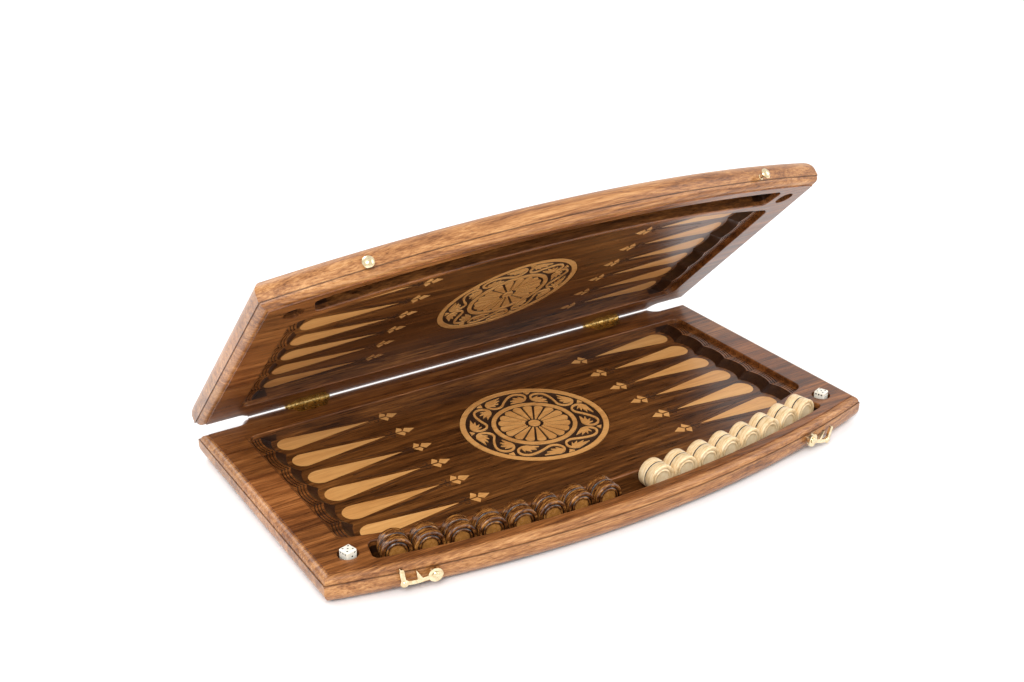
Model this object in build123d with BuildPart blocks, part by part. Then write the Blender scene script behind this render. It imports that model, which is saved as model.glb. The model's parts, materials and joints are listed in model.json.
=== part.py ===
from build123d import *
import os
from math import asin, atan2, copysign, cos, degrees, hypot, pi, radians, sin, sqrt

# Backgammon set: a carved folding board of two equal leaves, in millimetres.
# X runs along the hinge line, -Y points to the bowed front, +Z is up and the
# base leaf's flat underside lies on z = 0 with the origin at its centre.

# ---- driving dimensions ----
board_length = 600.0
leaf_height = 28.0
hinge_y = 167.0
back_gap = 1.5
leaf_gap = 0.5
lid_opening = 44.5

# Edge moulding: a small step, a quarter round and a plain band, then a rounded underside.
moulding_out = 7.4
moulding_drop = 7.6
moulding_radius = 6.5
under_radius = 13.5
crown_depth = 326.4
front_radius = 1093.9
notch_half = 247.0
notch_depth = 10.5
notch_radius = 14.0

# Playing field and the carved border at each end.
rail_width = 37.3
recess_half = 263.3
recess_crown = 286.6
recess_radius = 836.0
border_drop = 5.0
field_drop = 12.5
field_half = 233.0
recess_corner = 11.0
pocket_x = 212.0
pocket_foot = 30.0
pocket_flare = 4 / 3
lip_radius = 1.2
row_first = 50.5
row_pitch = 36.45
rows_per_side = 6
border_lines = (42.4, 45.2, 48.0)
border_line_reach = 20.0
line_width = 1.0
line_depth = 0.9

# Checker groove and dice holes.
groove_outer_inset = 9.6
groove_inner_inset = 36.0
groove_depth = 18.8
groove_tip = 252.0
groove_corner = 6.0
die_hole_x = 266.9
die_hole_ahead = 269.4
die_hole_radius = 9.4
die_hole_depth = 6.0

# Glue lines between the staves, measured ahead of the hinge axis.
seams = (110.0, 218.0)

# Inlays.
inlay_depth = 1.6
point_end = 237.5
point_tip = 139.0
point_half_width = 12.0
trefoil_x = 121.0
trefoil_middle = ((1.0, 0.0), (5.2, 5.2), (13.8, 0.0), (5.2, -5.2))
trefoil_wing = ((-6.6, 0.9), (-1.4, 9.2), (2.0, 4.6), (0.4, 1.0))
medallion_ahead = 142.4
rim_outer = 75.0
rim_inner = 69.4
band_inner = 43.2
ring_inner = 38.7
petal_outer = 36.2
petal_inner = 9.4
petal_count = 18
hub_radius = 6.0

# Checkers, stored standing on edge in stacks of two, and dice.
checker_radius = 14.0
checker_height = 9.0
felt_height = 0.6
felt_gap = 0.02
stack_inset = 26.0
stack_pitch = 1.54
dark_first = -12.28
light_first = 1.72
stacks_per_side = 8
die_size = 11.0
die_turns = (15, 20)

# Hinges.
hinge_x = 183.0
hinge_half = 23.0
knuckle_radius = 2.3
pin_radius = 1.0
pin_clearance = 0.05
knuckles = 5
plate_thickness = 1.2

# Swing hooks and the round-headed knobs they catch.
hook_x = 210.0
hook_z = 15.0
knob_z = 17.6
hook_arm = 27.5
hook_head_radius = 6.5
hook_droops = (3, 18)
pilot_radius = 1.2
pilot_depth = 5.0

axis_z = leaf_height + leaf_gap / 2
arc_centre_y = hinge_y + front_radius - crown_depth
top_half = board_length / 2 - moulding_out
field_z = leaf_height - field_drop
hinge_axis = Axis((0, hinge_y, axis_z), (-1, 0, 0))
knuckle_pitch = 2 * hinge_half / knuckles
face_radius = front_radius + moulding_out
latch_angle = degrees(asin(hook_x / face_radius))
hinge_places = (("left", -hinge_x), ("right", hinge_x))
sides = (("left", -1), ("right", 1))
up_axis = Axis((0, arc_centre_y, 0), (0, 0, 1))

# Local x of this plane is the distance ahead of the hinge axis, local y is the height.
side_plane = Plane(origin=(0, hinge_y, 0), x_dir=(0, -1, 0), z_dir=(-1, 0, 0))


def ahead(distance):
    """Y of a point the given distance in front of the hinge axis."""
    return hinge_y - distance


def save(part, name):
    """Labels a finished piece and writes it as one STEP file."""
    part.label = name
    export_step(part, f"parts/{name}.step")


def onto_lid(part):
    """Turns a piece of the base leaf over to its place on the lid and opens the lid."""
    turned = part.rotate(Axis((0, 0, axis_z), (0, 1, 0)), 180)
    return turned.rotate(hinge_axis, lid_opening)


def save_both(part, name):
    """Saves a leaf's piece for the base and, turned over, for the lid."""
    save(part, f"base_{name}")
    save(onto_lid(part), f"lid_{name}")


def on_face(angle, height, out):
    """Plane on the bowed front band: local x runs along it, local y is up, z points out."""
    turn = radians(angle)
    radius = face_radius + out
    spot = (radius * sin(turn), arc_centre_y - radius * cos(turn), height)
    return Plane(origin=spot, x_dir=(cos(turn), sin(turn), 0), z_dir=(sin(turn), -cos(turn), 0))


def teardrop(centre, radius, tip):
    """Face with a round end about centre and straight sides that meet at tip."""
    reach = hypot(tip[0] - centre[0], tip[1] - centre[1])
    toward = degrees(atan2(tip[1] - centre[1], tip[0] - centre[0]))
    half = degrees(pi / 2 - asin(radius / reach))
    with BuildLine() as outline:
        round_end = CenterArc(centre, radius, toward + half, 360 - 2 * half)
        Polyline(round_end @ 1, tip, round_end @ 0)
    make_face(outline.edges())


def cap(rim_radius, rim_z, rise):
    """Half section of a domed or dished end, with its centre of curvature on the turning axis."""
    radius = (rim_radius**2 + rise**2) / (2 * abs(rise))
    centre_z = rim_z + rise - copysign(radius, rise)
    start = degrees(atan2(rim_z - centre_z, rim_radius))
    CenterArc((0, centre_z), radius, start, copysign(90, rise) - start)


def edge_profile(top_edge):
    """Line of the moulded edge, from the top plane's edge down to the flat underside."""
    face = top_edge + moulding_out
    ledge_z = leaf_height - moulding_drop
    Line((top_edge, leaf_height), (top_edge, ledge_z + moulding_radius))
    CenterArc((top_edge, ledge_z), moulding_radius, 90, -90)
    Polyline((top_edge + moulding_radius, ledge_z), (face, ledge_z), (face, under_radius))
    CenterArc((face - under_radius, under_radius), under_radius, 0, -90)


def recess_outline():
    """Plan of the sunk field: straight at the hinge and the ends, bowed at the front."""
    centre_y = ahead(recess_crown - recess_radius)
    corner_y = centre_y - sqrt(recess_radius**2 - recess_half**2)
    with BuildLine() as outline:
        Polyline((-recess_half, corner_y), (-recess_half, ahead(rail_width)),
                 (recess_half, ahead(rail_width)), (recess_half, corner_y))
        ThreePointArc((recess_half, corner_y), (0, ahead(recess_crown)), (-recess_half, corner_y))
    make_face(outline.edges())


def pocket_places():
    """Centres of the scallops at both ends of the field, one behind each point."""
    return [(side * pocket_x, ahead(row_first + row * row_pitch))
            for side in (-1, 1) for row in range(rows_per_side)]


def row_places(row_x):
    """Centres of the six rows at the given x."""
    return [(row_x, ahead(row_first + row * row_pitch)) for row in range(rows_per_side)]


def leaf_body(pilot_z):
    """One whole leaf: moulded edges, sunk field, carved border, groove and holes."""
    underside = board_length / 2 - under_radius
    with BuildPart() as leaf:
        with BuildSketch(Plane.XZ):
            with BuildLine():
                edge_profile(top_half)
                mirror(about=Plane.YZ)
                Line((-underside, 0), (underside, 0))
                Line((-top_half, leaf_height), (top_half, leaf_height))
            make_face()
        extrude(amount=400, both=True)
        with BuildSketch(side_plane):
            with BuildLine():
                edge_profile(crown_depth)
                Polyline((crown_depth + moulding_out - under_radius, 0), (-20, 0),
                         (-20, leaf_height), (crown_depth, leaf_height))
            make_face()
        revolve(axis=up_axis, mode=Mode.INTERSECT)
        with BuildSketch(side_plane):
            with BuildLine():
                CenterArc((back_gap + under_radius, under_radius), under_radius, 180, 90)
                Polyline((back_gap + under_radius, 0), (400, 0), (400, leaf_height),
                         (back_gap, leaf_height), (back_gap, under_radius))
            make_face()
        extrude(amount=board_length, both=True, mode=Mode.INTERSECT)
        cut_corner_notches()
        cut_field()
        cut_groove()
        fillet(lip_edges(leaf.edges()), lip_radius)
        cut_hinge_seats()
        cut_inlay_beds()
        cut_pilot_holes(pilot_z)
    return leaf.part


def cut_corner_notches():
    """Carries the moulding round each back corner, ending in a curved run-out."""
    ledge_z = leaf_height - moulding_drop
    reach = notch_radius
    centre_x = notch_half + notch_radius
    centre_y = ahead(back_gap + notch_depth - notch_radius)
    for side in (-1, 1):
        with BuildSketch(Plane(origin=(side * centre_x, centre_y, 0),
                               x_dir=(0, -1, 0), z_dir=(-1, 0, 0))) as waste:
            with BuildLine():
                Polyline((reach, ledge_z + moulding_radius), (reach, leaf_height + 1),
                         (0, leaf_height + 1), (0, ledge_z), (reach - moulding_radius, ledge_z))
                CenterArc((reach, ledge_z), moulding_radius, 180, -90)
            make_face()
        extrude(waste.sketch, amount=-side * 60, mode=Mode.SUBTRACT)
        revolve(waste.sketch, axis=Axis((side * centre_x, centre_y, 0), (0, 0, 1)),
                mode=Mode.SUBTRACT)


def pockets():
    """Waste of the pockets: a cone behind each point that flares from the floor to the border."""
    rise = field_drop - border_drop + 1
    with BuildPart() as waste:
        with Locations(*[(x, y, field_z) for x, y in pocket_places()]):
            Cone(pocket_foot, pocket_foot + rise * pocket_flare, rise,
                 align=(Align.CENTER, Align.CENTER, Align.MIN))
        with BuildSketch(Plane.XY.offset(field_z)) as limit:
            recess_outline()
        extrude(limit.sketch, amount=rise, mode=Mode.INTERSECT)
    return waste.part


def border_line(centre, side, radius):
    """Plan of one carved line: an arc round the outer side of a pocket."""
    half_turn = degrees(asin(border_line_reach / radius))
    start = 90 - side * 90 - half_turn
    with BuildLine() as outline:
        outer = CenterArc(centre, radius + line_width / 2, start, 2 * half_turn)
        inner = CenterArc(centre, radius - line_width / 2, start, 2 * half_turn)
        Line(outer @ 0, inner @ 0)
        Line(outer @ 1, inner @ 1)
    make_face(outline.edges())


def cut_field():
    """Sinks the border and the field, with a flared pocket behind each point and carved lines."""
    with BuildSketch(Plane.XY.offset(leaf_height - border_drop)) as border:
        recess_outline()
        fillet(border.vertices(), recess_corner)
    extrude(border.sketch, amount=border_drop + 1, mode=Mode.SUBTRACT)
    with BuildSketch(Plane.XY.offset(field_z)) as floor:
        recess_outline()
        with Locations((0, ahead(0))):
            Rectangle(2 * field_half, 2 * board_length, mode=Mode.INTERSECT)
    extrude(floor.sketch, amount=field_drop, mode=Mode.SUBTRACT)
    add(pockets(), mode=Mode.SUBTRACT)
    with BuildSketch() as arcs:
        for radius in border_lines:
            for x, y in pocket_places():
                border_line((x, y), copysign(1, x), radius)
    with BuildSketch(Plane.XY.offset(leaf_height - border_drop)) as lines:
        recess_outline()
        fillet(lines.vertices(), recess_corner)
        offset(amount=-line_width)
        add(arcs.sketch, mode=Mode.INTERSECT)
    extrude(lines.sketch, amount=-line_depth, mode=Mode.SUBTRACT)


def cut_groove():
    """Cuts the curved checker groove along the bow and a round hole at each front corner."""
    half_turn = degrees(asin(groove_tip / (front_radius - groove_outer_inset)))
    centre = (0, arc_centre_y)
    with BuildSketch(Plane.XY.offset(leaf_height)) as groove:
        with BuildLine():
            outer = CenterArc(centre, front_radius - groove_outer_inset,
                              -90 - half_turn, 2 * half_turn)
            inner = CenterArc(centre, front_radius - groove_inner_inset,
                              -90 - half_turn, 2 * half_turn)
            Line(outer @ 0, inner @ 0)
            Line(outer @ 1, inner @ 1)
        make_face()
        fillet(groove.vertices(), groove_corner)
    extrude(groove.sketch, amount=-groove_depth, mode=Mode.SUBTRACT)
    with BuildSketch(Plane.XY.offset(leaf_height)) as holes:
        with Locations((-die_hole_x, ahead(die_hole_ahead)), (die_hole_x, ahead(die_hole_ahead))):
            Circle(die_hole_radius)
    extrude(holes.sketch, amount=-die_hole_depth, mode=Mode.SUBTRACT)


def lip_edges(leaf_edges):
    """Long curved edges of the sunk field and of the checker groove in the top plane."""
    radii = (recess_radius, front_radius - groove_inner_inset)
    return [edge for edge in leaf_edges.filter_by(GeomType.CIRCLE)
            if any(abs(edge.radius - radius) < 0.01 for radius in radii)
            and abs(edge.center().Z - leaf_height) < 0.01]


def plate_outline():
    """Ogee outline of a hinge plate, with its straight edge on the hinge axis."""
    with BuildLine() as outline:
        Polyline((0, 0), (hinge_half, 0), (hinge_half, -6))
        ThreePointArc((hinge_half, -6), (19.6, -8), (17.2, -11.6))
        ThreePointArc((17.2, -11.6), (15.6, -15.8), (11, -17.3))
        ThreePointArc((11, -17.3), (5.6, -16.6), (0, -18.4))
        mirror(about=Plane.YZ)
    make_face(outline.edges())


def screw_spots(middle_x):
    """Plan positions of one hinge plate's three screws."""
    return [(middle_x - 12.5, ahead(8.2)), (middle_x + 12.5, ahead(8.2)), (middle_x, ahead(13.2))]


def countersunk(spot, mode):
    """Countersunk wood screw blank that hangs from the leaf's top plane."""
    with BuildSketch(Plane(origin=(spot[0], spot[1], leaf_height),
                           x_dir=(1, 0, 0), z_dir=(0, -1, 0))) as section:
        with BuildLine():
            Polyline((0, 0), (2.2, 0), (1.1, -1.1), (1.1, -8), (0, -9), (0, 0))
        make_face()
    revolve(section.sketch, axis=Axis((spot[0], spot[1], 0), (0, 0, 1)), mode=mode)


def cut_hinge_seats():
    """Lets both hinges into the back rail: plate mortise, knuckle relief and screw holes."""
    for _, middle_x in hinge_places:
        with BuildSketch(Plane(origin=(middle_x, hinge_y, leaf_height - plate_thickness))) as seat:
            plate_outline()
        extrude(seat.sketch, amount=plate_thickness + 1, mode=Mode.SUBTRACT)
        with BuildSketch(Plane.YZ.offset(middle_x)) as relief:
            with Locations((hinge_y, axis_z)):
                Circle(knuckle_radius + 0.4)
        extrude(relief.sketch, amount=hinge_half + 1.6, both=True, mode=Mode.SUBTRACT)
        for spot in screw_spots(middle_x):
            countersunk(spot, Mode.SUBTRACT)


def cut_inlay_beds():
    """Sinks the beds of the points, trefoils and medallion into the field."""
    with BuildSketch(Plane.XY.offset(field_z)) as beds:
        for side in (-1, 1):
            points_plan(side)
            trefoils_plan(side)
        with Locations((0, ahead(medallion_ahead))):
            Circle(rim_outer)
    extrude(beds.sketch, amount=-inlay_depth, mode=Mode.SUBTRACT)
    with BuildSketch(Plane.XY.offset(field_z)) as halo:
        with Locations((0, ahead(medallion_ahead))):
            Circle(rim_outer + line_width)
            Circle(rim_outer, mode=Mode.SUBTRACT)
    extrude(halo.sketch, amount=-line_depth, mode=Mode.SUBTRACT)


def cut_pilot_holes(height):
    """Drills the bowed front for the shanks of the two latch pieces."""
    for side in (-1, 1):
        with BuildSketch(on_face(side * latch_angle, height, 0)) as pilot:
            Circle(pilot_radius)
        extrude(pilot.sketch, amount=-pilot_depth, mode=Mode.SUBTRACT)


def points_plan(side):
    """Plan of the six teardrop points at one end."""
    centre_x = side * (point_end - point_half_width)
    for x, y in row_places(centre_x):
        teardrop((x, y), point_half_width, (side * point_tip, y))


def trefoils_plan(side):
    """Plan of the six three-leaved ornaments at one end, each pointing to the middle."""
    for x, y in row_places(side * trefoil_x):
        for petal, across in ((trefoil_middle, 1), (trefoil_wing, 1), (trefoil_wing, -1)):
            with BuildLine() as outline:
                Polyline(*[(x - side * out, y + across * off) for out, off in petal], close=True)
            make_face(outline.edges())


def staves(leaf):
    """The leaf cut along its glue lines into the boards it is made from."""
    edges = (0,) + seams + (400,)
    boards = {}
    for name, near, far in zip(("back_stave", "middle_stave", "front_stave"), edges[:-1], edges[1:]):
        with BuildPart() as stave:
            add(leaf)
            with Locations((0, ahead((near + far) / 2), leaf_height / 2)):
                Box(2 * board_length, far - near, 2 * leaf_height, mode=Mode.INTERSECT)
        boards[name] = stave.part
    return boards


def leaves():
    """Both leaves in boards: the base is drilled for the hooks and the lid for the knobs."""
    for name, board in staves(leaf_body(hook_z)).items():
        save(board, f"base_{name}")
    for name, board in staves(leaf_body(knob_z)).items():
        save(onto_lid(board), f"lid_{name}")


def points_and_trefoils():
    """Light inlays at both ends of the field."""
    for name, side in sides:
        with BuildPart() as points:
            with BuildSketch(Plane.XY.offset(field_z)):
                points_plan(side)
            extrude(amount=-inlay_depth)
        save_both(points.part, f"{name}_points")
        with BuildPart() as trefoils:
            with BuildSketch(Plane.XY.offset(field_z)):
                trefoils_plan(side)
            extrude(amount=-inlay_depth)
        save_both(trefoils.part, f"{name}_trefoils")


def band_point(unit_angle, flip, along, out):
    """Point of the medallion's scroll band: along its middle circle and out from it."""
    middle = (rim_inner + band_inner) / 2
    turn = radians(unit_angle) + flip * along / middle
    radius = middle + out
    return (radius * cos(turn), ahead(medallion_ahead) + radius * sin(turn))


def scroll_plan(unit_angle, flip):
    """One S-shaped scroll whose two ends curl round a spray of leaves."""
    curl = [(5.5, -4.6), (11, -7.9), (17, -7.8), (21.2, -4.6), (22.6, 0.2), (21.2, 4.6), (17.2, 7.4)]
    run = [(-x, -y) for x, y in reversed(curl)] + [(0, 0)] + curl
    with BuildLine() as stroke:
        Spline(*[band_point(unit_angle, flip, x, y) for x, y in run])
    trace(stroke.line, line_width=2.3)
    leaves = (((15.6, 6.2), 3.0, (1.8, 8.6)), ((14.6, 4.6), 2.5, (4.6, 3.4)),
              ((16.6, 3.4), 2.2, (9.4, -1.2)), ((18.6, 3.6), 1.8, (15.2, -2.9)))
    for end in (1, -1):
        for root, radius, tip in leaves:
            teardrop(band_point(unit_angle, flip, end * root[0], end * root[1]), radius,
                     band_point(unit_angle, flip, end * tip[0], end * tip[1]))


def medallion():
    """Round inlay: a dark ground with a light rim, scroll band, ring, petals and hub."""
    centre = (0, ahead(medallion_ahead))
    ground_height = 0.6
    ground_z = field_z - inlay_depth
    top_height = inlay_depth - ground_height
    light_plane = Plane.XY.offset(ground_z + ground_height)
    with BuildPart() as ground:
        with BuildSketch(Plane.XY.offset(ground_z)):
            with Locations(centre):
                Circle(rim_outer)
        extrude(amount=ground_height)
    save_both(ground.part, "medallion_ground")
    for name, outer, inner in (("rim", rim_outer, rim_inner), ("ring", band_inner, ring_inner)):
        with BuildPart() as hoop:
            with BuildSketch(light_plane):
                with Locations(centre):
                    Circle(outer)
                    Circle(inner, mode=Mode.SUBTRACT)
            extrude(amount=top_height)
        save_both(hoop.part, f"medallion_{name}")
    scroll_flips = (-1, 1, -1, 1, 1, -1, 1)
    unit = 360 / len(scroll_flips)
    with BuildPart() as scrolls:
        for index, flip in enumerate(scroll_flips):
            with BuildSketch(light_plane):
                scroll_plan(-90 + (index + 0.5) * unit, flip)
            extrude(amount=top_height)
            with BuildSketch(light_plane):
                with BuildLine():
                    Polyline(*[band_point(-90 + index * unit, 1, x, y)
                               for x, y in ((-2.8, 11), (2.8, 11), (0, 6.4))], close=True)
                make_face()
            extrude(amount=top_height)
    save_both(scrolls.part, "medallion_scrolls")
    with BuildPart() as petals:
        with BuildSketch(light_plane):
            with Locations(centre):
                with PolarLocations(0, petal_count, start_angle=180 / petal_count):
                    with BuildSketch(mode=Mode.PRIVATE) as petal:
                        with BuildLine():
                            Polyline((petal_outer - 2.6, 4.6), (petal_inner, 0.75),
                                     (petal_inner, -0.75), (petal_outer - 2.6, -4.6))
                            ThreePointArc((petal_outer - 2.6, 4.6), (petal_outer, 0),
                                          (petal_outer - 2.6, -4.6))
                        make_face()
                    add(petal.sketch)
        extrude(amount=top_height)
    save_both(petals.part, "medallion_petals")
    with BuildPart() as hub:
        with BuildSketch(light_plane):
            with Locations(centre):
                Circle(hub_radius)
        extrude(amount=top_height)
    save_both(hub.part, "medallion_hub")


def hinge_plate(middle_x, own_knuckles, bore):
    """Ornate hinge plate with its knuckles, let in flush with the leaf's top plane."""
    with BuildPart() as plate:
        with BuildSketch(Plane(origin=(middle_x, hinge_y, leaf_height - plate_thickness))):
            plate_outline()
            with Locations((-18.6, -4.6), (18.6, -4.6), (-6.2, -6), (6.2, -6), (-6.6, -12), (6.6, -12)):
                Circle(1.5, mode=Mode.SUBTRACT)
        extrude(amount=plate_thickness)
        with BuildSketch(Plane.YZ.offset(middle_x)):
            with Locations((hinge_y, axis_z)):
                Circle(knuckle_radius + 0.3)
        extrude(amount=hinge_half + 1, both=True, mode=Mode.SUBTRACT)
        for knuckle in own_knuckles:
            start_x = middle_x - hinge_half + knuckle * knuckle_pitch + 0.2
            with BuildSketch(Plane.YZ.offset(start_x)):
                with Locations((hinge_y, axis_z)):
                    Circle(knuckle_radius)
                with Locations((hinge_y - knuckle_radius, leaf_height - plate_thickness / 2)):
                    Rectangle(2 * knuckle_radius, plate_thickness)
            extrude(amount=knuckle_pitch - 0.4)
        with BuildSketch(Plane.YZ.offset(middle_x)):
            with Locations((hinge_y, axis_z)):
                Circle(bore)
        extrude(amount=hinge_half + 1, both=True, mode=Mode.SUBTRACT)
        for spot in screw_spots(middle_x):
            countersunk(spot, Mode.SUBTRACT)
    return plate.part


def plate_screws(middle_x):
    """Three slotted screws of one hinge plate."""
    with BuildPart() as screws:
        for spot in screw_spots(middle_x):
            countersunk(spot, Mode.ADD)
            with Locations((spot[0], spot[1], leaf_height)):
                Box(5, 0.5, 0.8, mode=Mode.SUBTRACT)
    return screws.part


def hinges():
    """Two butt hinges: plates on both leaves, a headed pin and the screws."""
    for name, middle_x in hinge_places:
        save(hinge_plate(middle_x, (0, 2, 4), pin_radius), f"{name}_hinge_base_plate")
        save(onto_lid(hinge_plate(-middle_x, (1, 3), pin_radius + pin_clearance)),
             f"{name}_hinge_lid_plate")
        with BuildPart() as pin:
            with BuildSketch(Plane.YZ.offset(middle_x)):
                with Locations((hinge_y, axis_z)):
                    Circle(pin_radius)
            extrude(amount=hinge_half + 0.4, both=True)
            for end in (-1, 1):
                with BuildSketch(Plane.YZ.offset(middle_x + end * (hinge_half - 0.2))):
                    with Locations((hinge_y, axis_z)):
                        Circle(1.9)
                extrude(amount=end * 1.4)
        save(pin.part, f"{name}_hinge_pin")
        save(plate_screws(middle_x), f"{name}_hinge_base_screws")
        save(onto_lid(plate_screws(-middle_x)), f"{name}_hinge_lid_screws")


def swing_hook(side, angle, droop):
    """Flat hook with a round head, a curled finger and an upright catch at its far end."""
    face = Plane(on_face(angle, hook_z, 3.0).location * Rotation(0, 0, -side * droop))
    with BuildPart() as hook:
        with BuildSketch(face):
            Circle(hook_head_radius)
            with BuildLine() as arm:
                Spline((0, 0), (side * 9, -1.2), (side * 18, -1.6), (side * hook_arm, 0))
            trace(arm.line, line_width=3.8)
            teardrop((side * 13.4, -0.4), 2.3, (side * 16.4, 9.6))
            with Locations((side * (hook_arm + 0.6), 6.2)):
                SlotOverall(14.5, 4.0, rotation=90 - side * 5)
            with Locations((side * (hook_arm - 0.4), -0.6)):
                Circle(3.6)
            Circle(1.6, mode=Mode.SUBTRACT)
        extrude(amount=2.4)
        with Locations(face * Location((side * (hook_arm - 0.4), -0.6, 1.2))):
            Sphere(2.9)
    return hook.part


def hook_screw(angle):
    """Spacer, shank and domed head that hold a hook on the base leaf's front band."""
    with BuildPart() as screw:
        with BuildSketch(Plane.XZ):
            with BuildLine():
                Polyline((0, -pilot_depth), (pilot_radius, -pilot_depth), (pilot_radius, 0),
                         (3.4, 0), (3.4, 2.8), (1.5, 2.8), (1.5, 5.6), (3.0, 5.6), (3.0, 6.0))
                cap(3.0, 6.0, 1.4)
                Line((0, 7.4), (0, -pilot_depth))
            make_face()
        revolve(axis=Axis.Z)
    return screw.part.moved(on_face(angle, hook_z, 0).location)


def lid_knob(angle):
    """Round-headed knob with a neck for the hook, made as if on the base leaf."""
    with BuildPart() as knob:
        with BuildSketch(Plane.XZ):
            with BuildLine():
                Polyline((0, -pilot_depth), (pilot_radius, -pilot_depth), (pilot_radius, 0),
                         (2.7, 0), (2.7, 1.0), (1.9, 1.6), (1.9, 7.6), (5.1, 7.8), (5.3, 8.4))
                cap(5.3, 8.4, 2.4)
                Line((0, 10.8), (0, -pilot_depth))
            make_face()
        revolve(axis=Axis.Z)
    return knob.part.moved(on_face(angle, knob_z, 0).location)


def latches():
    """Both swing hooks with their screws, and the knobs on the lid."""
    for (name, side), droop in zip(sides, hook_droops):
        save(swing_hook(side, side * latch_angle, droop), f"{name}_hook")
        save(hook_screw(side * latch_angle), f"{name}_hook_screw")
        save(onto_lid(lid_knob(-side * latch_angle)), f"{name}_knob")


def checker():
    """One turned checker above the XY plane, with its felt disc just clear of the plane."""
    foot = felt_height + felt_gap
    top = felt_height + checker_height
    with BuildPart() as piece:
        with BuildSketch(Plane.XY.offset(felt_gap)):
            Circle(checker_radius - 0.15)
        extrude(amount=felt_height - felt_gap)
        with BuildSketch(Plane.XZ):
            with BuildLine():
                Polyline((0, foot), (checker_radius - 0.5, foot), (checker_radius, foot + 0.5),
                         (checker_radius, top - 0.9), (checker_radius - 0.9, top), (10.4, top),
                         (9.9, top - 0.7), (9.0, top - 0.7), (8.6, top - 0.1), (7.6, top - 0.1))
                cap(7.6, top - 0.1, -1.4)
                Line((0, top - 1.5), (0, foot))
            make_face()
        revolve(axis=Axis.Z)
    return piece.part


def checker_stack(angle):
    """Two checkers on edge, felt to felt, with their axis square to the bow."""
    turn = radians(angle)
    radius = front_radius - stack_inset
    height = leaf_height - groove_depth + 0.4 + checker_radius
    spot = Plane(origin=(radius * sin(turn), arc_centre_y - radius * cos(turn), height),
                 x_dir=(cos(turn), sin(turn), 0), z_dir=(sin(turn), -cos(turn), 0))
    with BuildPart() as stack:
        add(checker())
        add(checker().rotate(Axis.X, 180))
    return stack.part.moved(spot.location)


def checkers():
    """Eight dark stacks on the left of the groove and eight light stacks on the right."""
    for colour, first in (("dark", dark_first), ("light", light_first)):
        for index in range(stacks_per_side):
            stack = checker_stack(first + index * stack_pitch)
            save(stack, f"{colour}_checkers_{index + 1}")


def die(side, turn):
    """Rounded cube with dished pips, standing in the base leaf's corner hole."""
    half = die_size / 2
    centre = (side * die_hole_x, ahead(die_hole_ahead), leaf_height - die_hole_depth + half)
    block = Plane(Location(centre) * Rotation(0, 0, turn))
    spread = die_size * 0.27
    pips = {1: ((0, 0),), 2: ((-1, -1), (1, 1)), 3: ((-1, -1), (0, 0), (1, 1)),
            4: ((-1, -1), (-1, 1), (1, -1), (1, 1)),
            5: ((-1, -1), (-1, 1), (0, 0), (1, -1), (1, 1)),
            6: ((-1, -1), (-1, 0), (-1, 1), (1, -1), (1, 0), (1, 1))}
    faces = {5: (0, 0, 0), 2: (180, 0, 0), 1: (0, 90, 0),
             6: (0, -90, 0), 3: (90, 0, 0), 4: (-90, 0, 0)}
    with BuildPart() as cube:
        with BuildSketch(block.offset(-half)):
            Rectangle(die_size, die_size)
        extrude(amount=die_size)
        fillet(cube.edges(), 1.3)
        for value, tilt in faces.items():
            for x, y in pips[value]:
                with Locations(block * Location((0, 0, 0), tilt)
                               * Location((x * spread, y * spread, half + 0.4))):
                    Sphere(1.0, mode=Mode.SUBTRACT)
    return cube.part


os.makedirs("parts", exist_ok=True)
leaves()
points_and_trefoils()
medallion()
hinges()
latches()
checkers()
for (name, side), turn in zip(sides, die_turns):
    save(die(side, turn), f"{name}_die")
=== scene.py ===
"""Looks of the backgammon set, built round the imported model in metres."""
import json
import math
import random

import bmesh
import bpy
from mathutils import Matrix, Vector


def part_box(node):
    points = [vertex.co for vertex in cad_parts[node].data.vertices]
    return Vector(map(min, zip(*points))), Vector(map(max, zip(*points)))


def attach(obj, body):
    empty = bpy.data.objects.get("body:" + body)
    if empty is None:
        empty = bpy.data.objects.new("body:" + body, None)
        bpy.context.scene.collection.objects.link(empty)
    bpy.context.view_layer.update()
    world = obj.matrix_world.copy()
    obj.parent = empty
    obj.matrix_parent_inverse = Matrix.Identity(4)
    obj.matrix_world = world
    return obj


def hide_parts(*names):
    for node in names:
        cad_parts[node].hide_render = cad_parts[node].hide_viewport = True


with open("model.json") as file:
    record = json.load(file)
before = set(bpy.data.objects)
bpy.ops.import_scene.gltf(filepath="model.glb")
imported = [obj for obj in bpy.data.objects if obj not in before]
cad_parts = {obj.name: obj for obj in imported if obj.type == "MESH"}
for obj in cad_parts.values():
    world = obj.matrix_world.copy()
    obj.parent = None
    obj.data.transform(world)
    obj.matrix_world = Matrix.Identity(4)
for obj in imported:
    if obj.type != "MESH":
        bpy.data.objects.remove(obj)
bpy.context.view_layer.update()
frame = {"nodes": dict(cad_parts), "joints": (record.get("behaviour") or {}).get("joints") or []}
nodes = frame["nodes"]
MM = 0.001

# ---- places read from the frame ----
hinge = next(joint for joint in frame["joints"] if joint["name"] == "lid_hinge")
hinge_spot = Vector(hinge["pos_m"])
lid_angle = -math.radians(hinge["range_deg"][0])
field_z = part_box("base_left_points")[1].z
points_low, points_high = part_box("base_right_points")
trefoil_back_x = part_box("base_right_trefoils")[1].x
point_half_width = 12 * MM
rows = 6
row_first_y = points_high.y - point_half_width
row_pitch = (points_high.y - points_low.y - 2 * point_half_width) / (rows - 1)
point_tip_x = points_low.x

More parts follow.
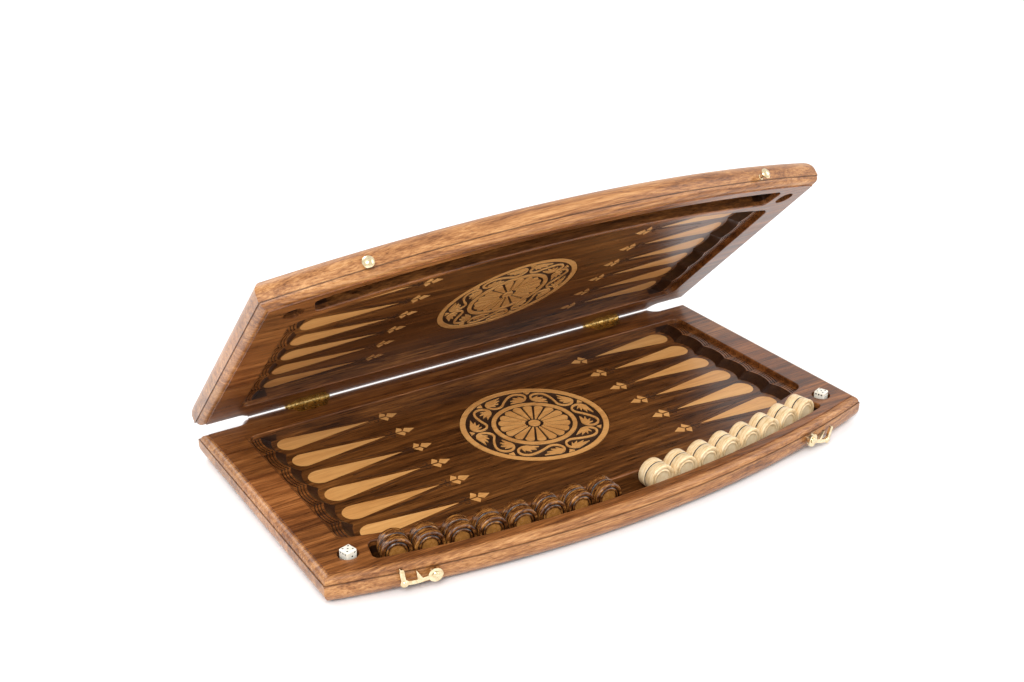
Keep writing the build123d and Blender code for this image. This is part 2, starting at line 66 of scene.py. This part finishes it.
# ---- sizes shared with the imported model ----
bow_radius = 1093.9 * MM
bow_centre_y = 934.5 * MM
moulding_x = 292.6 * MM
rail_width = 37.3 * MM
recess_half = 263.3 * MM
recess_radius = 836.0 * MM
recess_centre_y = 549.4 * MM
sunk_end_x = 281 * MM
sunk_back_y = -29 * MM
pocket_zone_x = 232.5 * MM
stacks_per_side = 8
die_turns = (("left", 15), ("right", 20))
pip_spread = 2.97 * MM
pip_radius = 0.92 * MM

# ---- stage ----
floor_half = 9
floor_z = -0.0004
world_strength = 0.95
turn_over = (Matrix.Translation(hinge_spot) @ Matrix.Rotation(-lid_angle, 4, "X")
             @ Matrix.Translation(-hinge_spot)
             @ Matrix.Translation((0, 0, 2 * hinge_spot.z)) @ Matrix.Diagonal((-1, 1, -1, 1)))
leaf_matrices = {"base": Matrix.Identity(4), "lid": turn_over}


# ---- node helpers ----
class Tree:
    """A material's node tree with short calls for the nodes used here."""

    def __init__(self, name):
        self.material = bpy.data.materials.new(name)
        self.material.use_nodes = True
        self.tree = self.material.node_tree
        self.shader = self.tree.nodes["Principled BSDF"]

    def node(self, kind, **settings):
        made = self.tree.nodes.new(kind)
        for key, value in settings.items():
            setattr(made, key, value)
        return made

    def plug(self, socket, value):
        if isinstance(value, bpy.types.NodeSocket):
            self.tree.links.new(value, socket)
        else:
            socket.default_value = value

    def math(self, operation, first, second=0.0):
        made = self.node("ShaderNodeMath", operation=operation)
        self.plug(made.inputs[0], first)
        self.plug(made.inputs[1], second)
        return made.outputs[0]

    def step(self, value, low, high, start=0.0, end=1.0):
        made = self.node("ShaderNodeMapRange", interpolation_type="SMOOTHSTEP")
        for socket, number in zip(made.inputs, (value, low, high, start, end)):
            self.plug(socket, number)
        return made.outputs[0]

    def noise(self, vector, scale, detail=4.0, roughness=0.55, distortion=0.0):
        stretch = self.node("ShaderNodeMapping")
        self.plug(stretch.inputs["Vector"], vector)
        stretch.inputs["Scale"].default_value = scale
        made = self.node("ShaderNodeTexNoise")
        self.plug(made.inputs["Vector"], stretch.outputs[0])
        made.inputs["Scale"].default_value = 1.0
        made.inputs["Detail"].default_value = detail
        made.inputs["Roughness"].default_value = roughness
        made.inputs["Distortion"].default_value = distortion
        return made.outputs["Fac"]

    def ramp(self, value, stops):
        made = self.node("ShaderNodeValToRGB")
        self.plug(made.inputs[0], value)
        while len(made.color_ramp.elements) < len(stops):
            made.color_ramp.elements.new(0.5)
        for element, (place, colour) in zip(made.color_ramp.elements, stops):
            element.position = place
            element.color = (*colour, 1)
        return made.outputs[0]

    def mix(self, factor, first, second, blend="MIX"):
        made = self.node("ShaderNodeMix", data_type="RGBA", blend_type=blend)
        self.plug(made.inputs[0], factor)
        for socket, value in zip((made.inputs[6], made.inputs[7]), (first, second)):
            self.plug(socket, (*value, 1) if isinstance(value, tuple) else value)
        return made.outputs[2]

    def bump(self, height, strength, distance):
        made = self.node("ShaderNodeBump")
        made.inputs["Strength"].default_value = strength
        made.inputs["Distance"].default_value = distance
        self.plug(made.inputs["Height"], height)
        self.plug(self.shader.inputs["Normal"], made.outputs[0])


def leaf_space(tree, lid):
    """Object coordinates laid flat: x along the hinge, y from the hinge axis, z across the leaf."""
    coordinates = tree.node("ShaderNodeTexCoord").outputs["Object"]
    flat = tree.node("ShaderNodeMapping", vector_type="TEXTURE")
    tree.plug(flat.inputs["Vector"], coordinates)
    flat.inputs["Location"].default_value = hinge_spot
    flat.inputs["Rotation"].default_value = (-lid_angle if lid else 0, 0, 0)
    return flat.outputs[0]


def grain(tree, vector, seed):
    """Long figure, fibres and pores of a board whose grain runs along x."""
    shifted = tree.node("ShaderNodeVectorMath", operation="ADD")
    tree.plug(shifted.inputs[0], vector)
    shifted.inputs[1].default_value = (seed * 0.731, seed * 0.417, seed * 0.263)
    place = shifted.outputs[0]
    figure = tree.noise(place, (5.5, 120, 120), 6.0, 0.68, 0.8)
    fibre = tree.noise(place, (42, 820, 820), 4.0, 0.65)
    cloud = tree.noise(place, (6, 16, 16), 2.0, 0.5)
    pores = tree.step(tree.noise(place, (60, 1500, 1500), 2.0, 0.5), 0.60, 0.70)
    return figure, fibre, cloud, pores


def walnut(name, lid, seed, warmth):
    """Oiled walnut of one stave: stained inside the sunk field and the groove, painted light on the moulded
    edge, darker in the pockets from stain and painted shade, painted shade in creases round the field and on
    the moulding."""
    tree = Tree(name)
    vector = leaf_space(tree, lid)
    figure, fibre, cloud, pores = grain(tree, vector, seed)
    tone = tree.math("ADD", tree.math("MULTIPLY", figure, 0.50),
                     tree.math("MULTIPLY", fibre, 0.36))
    tone = tree.math("ADD", tone, tree.math("MULTIPLY", cloud, 0.14))
    rail = tree.ramp(tone, ((0.38, (0.040, 0.011, 0.003)), (0.46, (0.120 * warmth, 0.038, 0.009)),
                            (0.53, (0.225 * warmth, 0.078, 0.019)),
                            (0.62, (0.400 * warmth, 0.160, 0.046))))
    sunk = tree.ramp(tone, ((0.38, (0.014, 0.004, 0.0014)), (0.46, (0.062, 0.020, 0.0045)),
                            (0.53, (0.135, 0.046, 0.0100)), (0.62, (0.270, 0.105, 0.025))))
    # painted light: a lighter copy of the walnut for the outer moulding, where it faces the lamps
    lit_edge = tree.ramp(tone, ((0.38, (0.095, 0.029, 0.007)), (0.46, (0.235 * warmth, 0.088, 0.023)),
                            (0.53, (0.385 * warmth, 0.168, 0.052)),
                            (0.62, (0.560 * warmth, 0.290, 0.112))))
    apart = tree.node("ShaderNodeSeparateXYZ")
    tree.plug(apart.inputs[0], vector)
    side = tree.math("ABSOLUTE", apart.outputs["X"])
    depth = tree.math("ABSOLUTE", apart.outputs["Z"])
    reach_y = tree.math("SUBTRACT", apart.outputs["Y"], bow_centre_y - hinge_spot.y)
    radius = tree.math("SQRT", tree.math("ADD", tree.math("POWER", reach_y, 2.0),
                                         tree.math("POWER", side, 2.0)))
    inside = tree.math("MULTIPLY", tree.step(depth, 0.9 * MM, 2.6 * MM),
                       tree.step(depth, 20.5 * MM, 19.5 * MM))
    inside = tree.math("MULTIPLY", inside, tree.step(side, sunk_end_x + MM, sunk_end_x - MM))
    inside = tree.math("MULTIPLY", inside, tree.step(apart.outputs["Y"], sunk_back_y + MM,
                                                     sunk_back_y - MM))
    inside = tree.math("MULTIPLY", inside, tree.step(radius, bow_radius - 5 * MM,
                                                     bow_radius - 6 * MM))
    outside = tree.math("MAXIMUM", tree.step(radius, bow_radius, bow_radius + 0.8 * MM),
                        tree.step(side, moulding_x, moulding_x + 0.8 * MM))
    # the outside mask puts the painted-light copy on the moulded edge
    colour = tree.mix(outside, tree.mix(inside, rail, sunk), lit_edge)
    end_zone = tree.math("MULTIPLY", tree.step(side, pocket_zone_x, pocket_zone_x + 1.7 * MM), inside)
    border = tree.math("MULTIPLY", end_zone, tree.step(depth, 5.5 * MM, 5.2 * MM))
    colour = tree.mix(tree.math("MULTIPLY", border, 0.65), colour, rail)
    # the pockets are darkened: partly dark stain on their walls, partly painted shade of the walls and their
    # cast shadows
    pocket_stain_and_shade = tree.math("MULTIPLY", end_zone, tree.step(depth, 5.2 * MM, 5.7 * MM))
    pocket_stain_and_shade = tree.math("MULTIPLY", pocket_stain_and_shade, tree.step(depth, 12.7 * MM, 12.3 * MM))
    colour = tree.mix(tree.math("MULTIPLY", pocket_stain_and_shade, 0.86), colour, (0.014, 0.005, 0.003))
    arch = tree.math("SQRT", tree.math("ADD", tree.math("POWER", side, 2.0), tree.math(
        "POWER", tree.math("SUBTRACT", apart.outputs["Y"], recess_centre_y), 2.0)))
    beyond = tree.math("MAXIMUM", tree.math("SUBTRACT", side, recess_half),
                       tree.math("ADD", apart.outputs["Y"], rail_width))
    beyond = tree.math("MAXIMUM", beyond, tree.math("SUBTRACT", arch, recess_radius))
    # painted shade: dark lines in the crease round the field and at the ledge step of the moulding
    crease_shade = tree.math("MULTIPLY", tree.step(beyond, 0.5 * MM, 0.9 * MM),
                       tree.step(beyond, 1.8 * MM, 1.4 * MM))
    crease_shade = tree.math("MULTIPLY", crease_shade, tree.step(depth, 0.9 * MM, 0.6 * MM))
    ledge_shade = tree.math("MULTIPLY", tree.step(depth, 7.2 * MM, 7.6 * MM),
                      tree.step(depth, 8.7 * MM, 8.2 * MM))
    crease_shade = tree.math("MAXIMUM", crease_shade, tree.math("MULTIPLY", ledge_shade, outside))
    # the painted shade colour laid into these creases
    colour = tree.mix(tree.math("MULTIPLY", crease_shade, 0.55), colour, (0.030, 0.011, 0.005))
    colour = tree.mix(tree.math("MULTIPLY", pores, 0.45), colour, (0.030, 0.012, 0.006))
    tree.plug(tree.shader.inputs["Base Color"], colour)
    tree.plug(tree.shader.inputs["Roughness"], tree.step(fibre, 0.3, 0.7, 0.27, 0.42))
    tree.shader.inputs["Specular IOR Level"].default_value = 0.40
    tree.shader.inputs["Coat Weight"].default_value = 0.15
    tree.shader.inputs["Coat Roughness"].default_value = 0.18
    tree.bump(tree.math("ADD", fibre, tree.math("MULTIPLY", pores, -0.6)), 0.25, 0.15 * MM)
    return tree.material


def fine_wood(name, lid, stops, seed, gloss=0.38, line=0.0):
    """Close-grained wood of the inlays: a colour ramp along a soft straight grain."""
    tree = Tree(name)
    figure, fibre, cloud, pores = grain(tree, leaf_space(tree, lid), seed)
    tone = tree.math("ADD", tree.math("MULTIPLY", figure, 0.45),
                     tree.math("MULTIPLY", fibre, 0.30))
    tone = tree.math("ADD", tone, tree.math("MULTIPLY", cloud, 0.25))
    colour = tree.mix(tree.math("MULTIPLY", pores, line), tree.ramp(tone, stops),
                      tuple(0.45 * value for value in stops[0][1]))
    tree.plug(tree.shader.inputs["Base Color"], colour)
    tree.plug(tree.shader.inputs["Roughness"], tree.step(fibre, 0.3, 0.7, gloss - 0.05, gloss + 0.07))
    tree.shader.inputs["Coat Weight"].default_value = 0.18
    tree.shader.inputs["Coat Roughness"].default_value = 0.22
    tree.bump(fibre, 0.15, 0.1 * MM)
    return tree.material


def turned_wood(name, stops, gloss, hollow_shade, centre, ring):
    """Polished wood of a checker: a lighter middle and darker turned rings over the grain, with painted
    shade where the surface is hollow.
    """
    tree = Tree(name)
    vector = tree.node("ShaderNodeTexCoord").outputs["Object"]
    figure = tree.noise(vector, (70, 70, 420), 4.0, 0.6, 0.4)
    fibre = tree.noise(vector, (240, 240, 1500), 3.0, 0.6)
    tone = tree.math("ADD", tree.math("MULTIPLY", figure, 0.6),
                     tree.math("MULTIPLY", fibre, 0.4))
    colour = tree.ramp(tone, stops)
    apart = tree.node("ShaderNodeSeparateXYZ")
    tree.plug(apart.inputs[0], vector)
    radius = tree.math("SQRT", tree.math("ADD", tree.math("POWER", apart.outputs["X"], 2.0),
                                         tree.math("POWER", apart.outputs["Y"], 2.0)))
    face = tree.step(tree.math("ABSOLUTE", apart.outputs["Z"]), 7.2 * MM, 7.6 * MM)
    middle = tree.math("MULTIPLY", tree.step(radius, 7.6 * MM, 6.2 * MM), face)
    colour = tree.mix(tree.math("MULTIPLY", middle, centre), colour, stops[-1][1])
    rings = tree.math("MULTIPLY", tree.step(radius, 9.3 * MM, 9.8 * MM),
                      tree.step(radius, 11.1 * MM, 10.6 * MM))
    rings = tree.math("MAXIMUM", rings, tree.math(
        "MULTIPLY", tree.step(radius, 7.3 * MM, 7.5 * MM), tree.step(radius, 8.2 * MM, 7.9 * MM)))
    colour = tree.mix(tree.math("MULTIPLY", tree.math("MULTIPLY", rings, face), ring), colour,
                      tuple(0.22 * value for value in stops[0][1]))
    # painted shade: darker where the turned surface is hollow (low pointiness), in its grooves and dished
    # middle
    shade = tree.step(tree.node("ShaderNodeNewGeometry").outputs["Pointiness"], 0.40, 0.50)
    colour = tree.mix(tree.math("MULTIPLY", tree.math("SUBTRACT", 1.0, shade), hollow_shade), colour,
                      tuple(0.30 * value for value in stops[0][1]))
    tree.plug(tree.shader.inputs["Base Color"], colour)
    tree.plug(tree.shader.inputs["Roughness"], tree.step(fibre, 0.3, 0.7, gloss, gloss + 0.10))
    tree.shader.inputs["Coat Weight"].default_value = 0.35
    tree.shader.inputs["Coat Roughness"].default_value = 0.15
    tree.bump(fibre, 0.12, 0.08 * MM)
    return tree.material


def metal(name, low, high, rough_low, rough_high, grain_size):
    """Brass with patches of patina that are darker and duller."""
    tree = Tree(name)
    vector = tree.node("ShaderNodeTexCoord").outputs["Object"]
    patch = tree.noise(vector, (grain_size,) * 3, 5.0, 0.65)
    pits = tree.noise(vector, (grain_size * 6,) * 3, 3.0, 0.6)
    tree.plug(tree.shader.inputs["Base Color"], tree.ramp(patch, ((0.38, low), (0.60, high))))
    tree.plug(tree.shader.inputs["Roughness"], tree.step(patch, 0.35, 0.65, rough_high, rough_low))
    tree.shader.inputs["Metallic"].default_value = 1.0
    tree.bump(pits, 0.15, 0.1 * MM)
    return tree.material


def felt(name):
    """Black felt with a short nap."""
    tree = Tree(name)
    vector = tree.node("ShaderNodeTexCoord").outputs["Object"]
    nap = tree.noise(vector, (2600,) * 3, 4.0, 0.7)
    tree.plug(tree.shader.inputs["Base Color"],
              tree.ramp(nap, ((0.35, (0.006, 0.005, 0.005)), (0.7, (0.030, 0.026, 0.024)))))
    tree.shader.inputs["Roughness"].default_value = 0.95
    tree.shader.inputs["Sheen Weight"].default_value = 0.4
    tree.bump(nap, 0.5, 0.2 * MM)
    return tree.material


def plastic(name, low, high, roughness):
    """Moulded plastic with a faint cloudiness."""
    tree = Tree(name)
    vector = tree.node("ShaderNodeTexCoord").outputs["Object"]
    cloud = tree.noise(vector, (180,) * 3, 3.0, 0.5)
    tree.plug(tree.shader.inputs["Base Color"], tree.ramp(cloud, ((0.3, low), (0.7, high))))
    tree.plug(tree.shader.inputs["Roughness"], tree.step(cloud, 0.3, 0.7, roughness,
                                                         roughness + 0.08))
    tree.bump(cloud, 0.05, 0.05 * MM)
    return tree.material


def paint(piece, *materials):
    """Puts materials in the piece's own slots, in order."""
    piece.data.materials.clear()
    for material in materials:
        piece.data.materials.append(material)


# ---- mesh helpers ----
def add_piece(name, mesh_maker, body, slot, *materials, matrix=None, smooth=False):
    """Makes one mesh piece from a bmesh filled by mesh_maker, on a body; its slot argument is not used."""
    made = bmesh.new()
    mesh_maker(made)
    if matrix is not None:
        made.transform(matrix)
    bmesh.ops.recalc_face_normals(made, faces=made.faces)
    mesh = bpy.data.meshes.new(name)
    made.to_mesh(mesh)
    made.free()
    piece = bpy.data.objects.new(name, mesh)
    bpy.context.scene.collection.objects.link(piece)
    for material in materials:
        mesh.materials.append(material)
    if smooth:
        for polygon in mesh.polygons:
            polygon.use_smooth = True
        mesh.set_sharp_from_angle(angle=math.radians(38))
    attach(piece, body)
    return piece


def add_ribbon(made, points, width, z, thickness=0.25 * MM):
    """Adds a thin raised line of the given width along plan points, closed underneath."""
    half = width / 2
    rails = []
    for index, point in enumerate(points):
        before = Vector(points[max(index - 1, 0)])
        after = Vector(points[min(index + 1, len(points) - 1)])
        along = (after - before).normalized()
        across = Vector((-along.y, along.x)) * half
        ring = [made.verts.new((point[0] + sign * across.x, point[1] + sign * across.y, height))
                for sign, height in ((1, z - thickness), (1, z), (-1, z), (-1, z - thickness))]
        rails.append(ring)
    for first, second in zip(rails, rails[1:]):
        for index in range(4):
            after = (index + 1) % 4
            made.faces.new((first[index], first[after], second[after], second[index]))
    made.faces.new(rails[0])
    made.faces.new(rails[-1])


def arc_points(centre, radius, start, size, steps=12):
    """Plan points on an arc, with angles in degrees."""
    return [(centre[0] + radius * math.cos(math.radians(start + size * step / steps)),
             centre[1] + radius * math.sin(math.radians(start + size * step / steps)))
            for step in range(steps + 1)]


# ---- materials ----
stave_seeds = {"back_stave": (1.0, 1.00), "middle_stave": (2.7, 1.06), "front_stave": (4.1, 1.02)}
light_stops = ((0.34, (0.45, 0.190, 0.050)), (0.50, (0.66, 0.325, 0.100)), (0.66, (0.78, 0.440, 0.160)))
dark_stops = ((0.34, (0.010, 0.004, 0.002)), (0.50, (0.030, 0.012, 0.005)), (0.66, (0.055, 0.022, 0.009)))
pale_checker = ((0.40, (0.66, 0.44, 0.21)), (0.50, (0.83, 0.61, 0.34)), (0.60, (0.90, 0.72, 0.46)))
brown_checker = ((0.40, (0.026, 0.007, 0.002)), (0.50, (0.120, 0.039, 0.009)), (0.60, (0.440, 0.190, 0.044)))
antique = metal("antique_brass", (0.27, 0.170, 0.055), (0.76, 0.54, 0.22), 0.24, 0.46, 420)
bright = metal("bright_brass", (0.70, 0.55, 0.31), (0.92, 0.79, 0.53), 0.16, 0.26, 300)
ivory = plastic("ivory_plastic", (0.80, 0.75, 0.62), (0.90, 0.87, 0.78), 0.25)
black_pip = plastic("black_pip", (0.006, 0.006, 0.006), (0.014, 0.013, 0.012), 0.35)
black_felt = felt("black_felt")
checker_woods = {"dark": turned_wood("dark_checker_wood", brown_checker, 0.20, 0.8, 0.65, 0.85),
                 "light": turned_wood("light_checker_wood", pale_checker, 0.34, 0.30, 0.25, 0.15)}
leaf_woods = {}
for leaf in ("base", "lid"):
    on_lid = leaf == "lid"
    leaf_woods[leaf] = {
        "light": fine_wood(f"{leaf}_light_inlay", on_lid, light_stops, 5.3, line=0.25),
        "dark": fine_wood(f"{leaf}_dark_inlay", on_lid, dark_stops, 7.9, gloss=0.5)}
    for stave, (seed, warmth) in stave_seeds.items():
        paint(nodes[f"{leaf}_{stave}"], walnut(f"{leaf}_{stave}_walnut", on_lid,
                                               seed + (9.0 if on_lid else 0.0), warmth))
for name, node in nodes.items():
    leaf = name.split("_")[0]
    if "stave" in name or "checkers" in name:
        continue
    if "medallion_ground" in name:
        paint(node, leaf_woods[leaf]["dark"])
    elif leaf in leaf_woods:
        paint(node, leaf_woods[leaf]["light"])
    elif "die" in name:
        paint(node, ivory)
    else:
        paint(node, antique if "hinge" in name else bright)


# ---- painted shade of the engraved lines of the field ----
def groove_shade_lines(made):
    """Dark ribbons of painted shade in the engraved grooves: outlines beside each point, its stem, two curls
    and the leaves' ribs.
    """
    top = field_z + 0.12 * MM
    for side in (-1, 1):
        for row in range(rows):
            y = row_first_y - row * row_pitch
            for sign in (-1, 1):
                add_ribbon(made, [(side * (point_tip_x - 1 * MM), y + sign * 3.2 * MM),
                                  (side * (point_tip_x + 22 * MM), y + sign * 7.4 * MM),
                                  (side * (point_tip_x + 60 * MM), y + sign * 14.6 * MM)],
                           0.8 * MM, top)
                curl = (side * (point_tip_x - 6.4 * MM), y + sign * 4.0 * MM)
                add_ribbon(made, arc_points(curl, 2.1 * MM, 90 - side * 60, sign * side * 250),
                           0.9 * MM, top)
            add_ribbon(made, [(side * (point_tip_x + 0.5 * MM), y),
                              (side * (trefoil_back_x + 0.2 * MM), y)], 1.5 * MM, top)


for leaf, matrix in leaf_matrices.items():
    add_piece(f"{leaf}_groove_shade_ribbons", groove_shade_lines, leaf, "dark_inlay", leaf_woods[leaf]["dark"],
              matrix=matrix)


# ---- checkers ----
def add_turned(made, profile, steps, flip, material_index):
    """Revolves (radius, height) pairs about z; flip turns the result upside down."""
    rings = []
    for radius, height in profile:
        height = -height if flip else height
        if radius == 0:
            rings.append([made.verts.new((0, 0, height))])
        else:
            rings.append([made.verts.new((radius * math.cos(2 * math.pi * step / steps),
                                          radius * math.sin(2 * math.pi * step / steps), height))
                          for step in range(steps)])
    for first, second in zip(rings, rings[1:]):
        for step in range(steps):
            after = (step + 1) % steps
            corners = [first[step % len(first)], first[after % len(first)],
                       second[after % len(second)], second[step % len(second)]]
            unique = list(dict.fromkeys(corners))
            face = made.faces.new(unique)
            face.material_index = material_index


def checker_profile(foot):
    """Half section of a turned checker: rounded rim, two grooves and a dished middle."""
    top = 9.6
    pairs = [(0, foot), (13.5, foot), (13.85, foot + 0.2), (14.0, foot + 0.55)]
    pairs += [(14.0, top - 1.1), (13.93, top - 0.7), (13.7, top - 0.3), (13.2, top - 0.05),
              (12.6, top)]
    pairs += [(11.2, top), (10.9, top - 0.15), (10.6, top - 0.65), (10.2, top - 0.8),
              (9.8, top - 0.65), (9.5, top - 0.25), (9.2, top - 0.1), (8.4, top - 0.1),
              (8.0, top - 0.25), (7.8, top - 0.55), (7.5, top - 0.6)]
    pairs += [(7.2 * math.cos(math.radians(angle)),
               top - 0.65 - 0.9 * math.sin(math.radians(angle))) for angle in range(12, 90, 13)]
    pairs.append((0, top - 1.55))
    return [(radius * MM, height * MM) for radius, height in pairs]


def checker_pair(made):
    """Two checkers felt to felt, with their axis on z."""
    rim = [(0, 0.01), (13.6, 0.01), (13.75, 0.30), (13.6, 0.59), (0, 0.59)]
    for flip in (False, True):
        add_turned(made, checker_profile(0.61), 64, flip, 0)
        add_turned(made, [(radius * MM, height * MM) for radius, height in rim], 48, flip, 1)


random.seed(7)
for colour in ("dark", "light"):
    for index in range(1, stacks_per_side + 1):
        name = f"{colour}_checkers_{index}"
        low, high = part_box(name)
        centre = (low + high) / 2
        outward = Vector((centre.x, centre.y - bow_centre_y, 0)).normalized()
        matrix = (Matrix.Translation(centre) @ outward.to_track_quat("Z", "Y").to_matrix().to_4x4()
                  @ Matrix.Rotation(random.uniform(0, 2 * math.pi), 4, "Z"))
        piece = add_piece(f"{name}_turned", checker_pair, name, f"{colour}_checker",
                          checker_woods[colour], black_felt, smooth=True)
        piece.matrix_world = matrix
        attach(piece, name)
        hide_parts(name)


# ---- dice pips ----
def add_pips(made, half, spread, radius):
    """Small domed discs in the dimples of a die's six faces."""
    layouts = {1: ((0, 0),), 2: ((-1, -1), (1, 1)), 3: ((-1, -1), (0, 0), (1, 1)),
               4: ((-1, -1), (-1, 1), (1, -1), (1, 1)),
               5: ((-1, -1), (-1, 1), (0, 0), (1, -1), (1, 1)),
               6: ((-1, -1), (-1, 0), (-1, 1), (1, -1), (1, 0), (1, 1))}
    tilts = {5: ("X", 0), 2: ("X", 180), 1: ("Y", 90), 6: ("Y", -90), 3: ("X", 90), 4: ("X", -90)}
    for value, (axis, angle) in tilts.items():
        face = Matrix.Rotation(math.radians(angle), 4, axis)
        for x, y in layouts[value]:
            spot = face @ Matrix.Translation((x * spread, y * spread, half - 0.12 * MM))
            bmesh.ops.create_cone(made, cap_ends=True, segments=20, radius1=radius,
                                  radius2=radius * 0.7, depth=0.12 * MM, matrix=spot)


for side, turn in die_turns:
    low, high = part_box(f"{side}_die")
    half = (high.z - low.z) / 2
    spot = Matrix.Translation((low + high) / 2) @ Matrix.Rotation(math.radians(turn), 4, "Z")
    add_piece(f"{side}_die_pips", lambda made: add_pips(made, half, pip_spread, pip_radius),
              f"{side}_die", "ivory", black_pip, matrix=spot)

# ---- stage, light and camera ----
floor_mesh = bpy.data.meshes.new("floor")
floor_corners = [(x * floor_half, y * floor_half, floor_z)
                 for x, y in ((-1, -1), (1, -1), (1, 1), (-1, 1))]
floor_mesh.from_pydata(floor_corners, [], [(0, 1, 2, 3)])
floor = bpy.data.objects.new("floor", floor_mesh)
bpy.context.scene.collection.objects.link(floor)
floor_tree = Tree("pale_floor")
floor_noise = floor_tree.noise(floor_tree.node("ShaderNodeTexCoord").outputs["Object"], (3, 3, 3))
floor_tree.plug(floor_tree.shader.inputs["Base Color"],
                floor_tree.ramp(floor_noise, ((0.3, (0.91, 0.91, 0.92)), (0.7, (0.93, 0.93, 0.935)))))
floor_tree.shader.inputs["Roughness"].default_value = 0.55
floor_mesh.materials.append(floor_tree.material)

world = bpy.data.worlds.new("studio")
world.use_nodes = True
world.node_tree.nodes["Background"].inputs[0].default_value = (1.0, 1.0, 1.0, 1)
world.node_tree.nodes["Background"].inputs[1].default_value = world_strength
bpy.context.scene.world = world
bpy.context.scene.view_settings.view_transform = "Standard"


def area_light(name, place, target, size, power):
    """Square soft box aimed at a point."""
    data = bpy.data.lights.new(name, "AREA")
    data.size = size
    data.energy = power
    light = bpy.data.objects.new(name, data)
    bpy.context.scene.collection.objects.link(light)
    light.location = place
    light.rotation_euler = (Vector(target) - Vector(place)).to_track_quat("-Z", "Y").to_euler()


area_light("key", (-1.3, -1.6, 1.9), (0, 0, 0.05), 1.2, 46)
area_light("fill", (1.9, -1.2, 1.3), (0, 0, 0.05), 1.6, 16)
area_light("back", (-0.6, 2.0, 1.8), (0, 0.1, 0.05), 1.8, 26)

azimuth, elevation, roll = (math.radians(angle) for angle in (-31.91, 25.08, -0.27))
distance = 1.5555
target = Vector((0.1011, 0.2288, 0.0))
backward = Vector((math.sin(azimuth) * math.cos(elevation),
                   -math.cos(azimuth) * math.cos(elevation), math.sin(elevation)))
camera_data = bpy.data.cameras.new("camera")
camera_data.lens = 47.0
camera_data.sensor_width = 36.0
camera_data.clip_start = 0.05
camera = bpy.data.objects.new("camera", camera_data)
bpy.context.scene.collection.objects.link(camera)
camera.location = target + backward * distance
camera.rotation_euler = ((-backward).to_track_quat("-Z", "Y").to_matrix().to_4x4()
                         @ Matrix.Rotation(roll, 4, "Z")).to_euler()
bpy.context.scene.camera = camera
